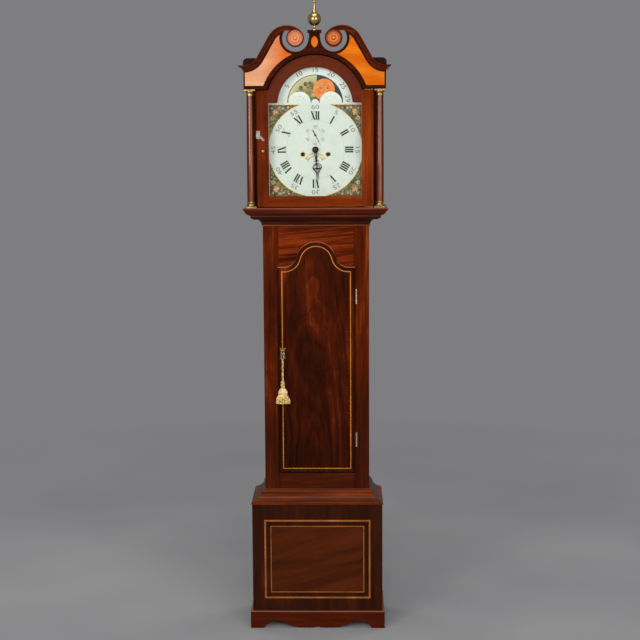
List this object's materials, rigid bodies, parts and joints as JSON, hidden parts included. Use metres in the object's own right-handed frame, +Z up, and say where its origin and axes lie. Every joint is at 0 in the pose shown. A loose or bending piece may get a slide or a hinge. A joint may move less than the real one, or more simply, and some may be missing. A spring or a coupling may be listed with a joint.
{
  "type": "longcase clock",
  "caption": "Mahogany longcase clock: swan-neck pediment, arched painted moon dial, ogee-headed trunk door with tasseled key, slide-off hood, weights, pendulum and movement",
  "frame": {"origin": "on the floor, under the middle of the clock's width and depth", "axes": "+Z up, -Y to the front with the dial, +X to the clock's left-hand side as it faces out, which is the viewer's right"},
  "size_m": [0.518, 0.254, 2.23],
  "materials": {
    "mahogany": "polished",
    "satinwood": "polished",
    "boxwood": "polished",
    "oak": "plain",
    "brass": "polished",
    "dial_paint": "painted",
    "moon_paint": "painted",
    "blued_steel": "blued",
    "steel": "polished",
    "glass": "clear",
    "silk": "twisted",
    "gut": "twisted"
  },
  "bodies": {
    "case": {"base_carcass": "mahogany", "bracket_skirt": "mahogany", "base_cap_molding": "mahogany", "base_stringing": "boxwood", "backboard": "oak", "trunk_sides": "mahogany", "trunk_front_frame": "mahogany", "throat_molding": "mahogany", "seatboard": "oak", "trunk_hinge_case_leaves": "brass", "movement_frame": "brass", "dial_plate": "dial_paint", "bell": "brass", "going_line": "gut", "strike_line": "gut"},
    "hood": {"hood_base_molding": "mahogany", "hood_carcass": "mahogany", "pediment_board": "mahogany", "finial_plinth": "mahogany", "pediment_inlay": "satinwood", "pediment_moldings": "mahogany", "rosettes": "satinwood", "finial": "brass", "hood_columns": "mahogany", "column_mounts": "brass"},
    "hood_door": {"hood_door_frame": "mahogany", "hood_door_glass": "glass", "hood_door_hardware": "brass"},
    "hood_latch": {"hood_door_latch": "brass"},
    "trunk_door": {"trunk_door_panel": "mahogany", "trunk_door_stringing": "boxwood", "trunk_door_lock": "brass", "trunk_hinge_door_leaves": "brass"},
    "bolt": {"lock_bolt": "brass"},
    "key": {"trunk_door_key": "steel"},
    "tassel": {"tassel_cord": "silk", "tassel": "silk"},
    "center": {"minute_hand": "blued_steel", "center_wheel": "brass"},
    "hour": {"hour_hand": "blued_steel", "hour_wheel": "brass"},
    "minute_work": {"minute_wheel": "brass"},
    "third": {"third_wheel": "brass"},
    "seconds": {"seconds_hand": "blued_steel", "escape_wheel": "brass"},
    "going_great": {"going_great_wheel": "brass"},
    "going_drum": {"going_barrel": "brass"},
    "escapement": {"anchor": "steel"},
    "pendulum": {"pendulum_rod": "steel", "pendulum_bob": "brass"},
    "moon": {"moon_disc": "moon_paint"},
    "calendar": {"calendar_disc": "dial_paint"},
    "strike_drum": {"strike_barrel": "brass"},
    "strike_great": {"strike_great_wheel": "brass"},
    "pins": {"pin_wheel": "brass"},
    "strike_hammer": {"hammer": "steel"},
    "going_hang": {"going_weight": "brass"},
    "strike_hang": {"strike_weight": "brass"},
    "going_sheave": {"going_pulley": "brass"},
    "strike_sheave": {"strike_pulley": "brass"}
  },
  "joints": [
    {"name": "hood_slide", "type": "slide", "parent": "case", "child": "hood", "axis": [0, -1, 0], "range_m": [0, 0.25]},
    {"name": "hood_door_hinge", "type": "hinge", "parent": "hood", "child": "hood_door", "pos_m": [0.195, -0.098, 1.703], "axis": [0, 0, 1], "range_deg": [0, 105]},
    {"name": "hood_latch_turn", "type": "hinge", "parent": "hood_door", "child": "hood_latch", "pos_m": [-0.178, -0.09, 1.737], "axis": [0, 1, 0], "range_deg": [0, 75]},
    {"name": "trunk_door_hinge", "type": "hinge", "parent": "case", "child": "trunk_door", "pos_m": [0.1406, -0.0571, 0.94], "axis": [0, 0, 1], "range_deg": [0, 105]},
    {"name": "key_turn", "type": "hinge", "parent": "trunk_door", "child": "key", "pos_m": [-0.119, -0.061, 0.991], "axis": [0, 1, 0], "range_deg": [0, 90]},
    {"name": "bolt_throw", "type": "slide", "parent": "trunk_door", "child": "bolt", "axis": [-1, 0, 0], "range_m": [0, 0.008]},
    {"name": "tassel_swing", "type": "hinge", "parent": "trunk_door", "child": "tassel", "pos_m": [-0.119, -0.0779, 0.991], "axis": [0, 1, 0], "range_deg": [-15, 15]},
    {"name": "center_turn", "type": "hinge", "parent": "case", "child": "center", "pos_m": [0, -0.018, 1.703], "axis": [0, 1, 0], "continuous": true},
    {"name": "hour_turn", "type": "hinge", "parent": "case", "child": "hour", "pos_m": [0, -0.033, 1.703], "axis": [0, 1, 0], "continuous": true},
    {"name": "minute_work_turn", "type": "hinge", "parent": "case", "child": "minute_work", "pos_m": [0, -0.022, 1.6742], "axis": [0, 1, 0], "continuous": true},
    {"name": "third_turn", "type": "hinge", "parent": "case", "child": "third", "pos_m": [0.01769, 0.017, 1.73015], "axis": [0, 1, 0], "continuous": true},
    {"name": "seconds_turn", "type": "hinge", "parent": "case", "child": "seconds", "pos_m": [0, -0.003, 1.753], "axis": [0, 1, 0], "continuous": true},
    {"name": "going_great_turn", "type": "hinge", "parent": "case", "child": "going_great", "pos_m": [0.04398, -0.0085, 1.68699], "axis": [0, 1, 0], "continuous": true},
    {"name": "going_fall", "type": "slide", "parent": "case", "child": "going_hang", "axis": [0, 0, -1], "range_m": [-0.35, 0.78], "deforming": ["going_line"]},
    {"name": "going_drum_turn", "type": "hinge", "parent": "case", "child": "going_drum", "pos_m": [0.04398, 0.015, 1.68699], "axis": [0, 1, 0], "continuous": true},
    {"name": "going_sheave_turn", "type": "hinge", "parent": "going_hang", "child": "going_sheave", "pos_m": [0.04398, 0.015, 1.18], "axis": [0, 1, 0], "continuous": true},
    {"name": "strike_fall", "type": "slide", "parent": "case", "child": "strike_hang", "axis": [0, 0, -1], "range_m": [-0.3, 0.8], "deforming": ["strike_line"]},
    {"name": "strike_drum_turn", "type": "hinge", "parent": "case", "child": "strike_drum", "pos_m": [-0.04398, 0.015, 1.68699], "axis": [0, 1, 0], "continuous": true},
    {"name": "strike_sheave_turn", "type": "hinge", "parent": "strike_hang", "child": "strike_sheave", "pos_m": [-0.04398, 0.015, 1.24], "axis": [0, 1, 0], "continuous": true},
    {"name": "strike_great_turn", "type": "hinge", "parent": "case", "child": "strike_great", "pos_m": [-0.04398, -0.0085, 1.68699], "axis": [0, 1, 0], "continuous": true},
    {"name": "pins_turn", "type": "hinge", "parent": "case", "child": "pins", "pos_m": [-0.05469, 0.017, 1.72698], "axis": [0, 1, 0], "continuous": true},
    {"name": "hammer_swing", "type": "hinge", "parent": "case", "child": "strike_hammer", "pos_m": [-0.066, 0.017, 1.765], "axis": [0, 1, 0], "range_deg": [-20, 0.6], "stiffness_Nm_per_rad": 0.03},
    {"name": "pendulum_swing", "type": "hinge", "parent": "case", "child": "pendulum", "pos_m": [0, 0.081, 1.7813], "axis": [0, 1, 0], "range_deg": [-3, 3]},
    {"name": "escapement_rock", "type": "hinge", "parent": "case", "child": "escapement", "pos_m": [0, 0.025, 1.7813], "axis": [0, 1, 0], "range_deg": [-3, 3]},
    {"name": "moon_turn", "type": "hinge", "parent": "case", "child": "moon", "pos_m": [0, -0.045, 1.863], "axis": [0, 1, 0], "continuous": true},
    {"name": "calendar_turn", "type": "hinge", "parent": "case", "child": "calendar", "pos_m": [0, -0.045, 1.65], "axis": [0, 1, 0], "continuous": true}
  ],
  "couplings": [
    {"joint": "key_turn", "follows": "bolt_throw", "rad_per_m": 196.35},
    {"joint": "hour_turn", "follows": "center_turn", "ratio": 0.083333},
    {"joint": "minute_work_turn", "follows": "center_turn", "ratio": -1},
    {"joint": "third_turn", "follows": "center_turn", "ratio": -8},
    {"joint": "seconds_turn", "follows": "center_turn", "ratio": 60},
    {"joint": "going_great_turn", "follows": "center_turn", "ratio": -0.083333},
    {"joint": "going_drum_turn", "follows": "going_fall", "rad_per_m": -77.519},
    {"joint": "going_sheave_turn", "follows": "going_fall", "rad_per_m": -38.76},
    {"joint": "strike_drum_turn", "follows": "strike_fall", "rad_per_m": -77.519},
    {"joint": "strike_sheave_turn", "follows": "strike_fall", "rad_per_m": -38.76},
    {"joint": "pins_turn", "follows": "strike_great_turn", "ratio": -10.5},
    {"joint": "escapement_rock", "follows": "pendulum_swing", "ratio": 1}
  ]
}
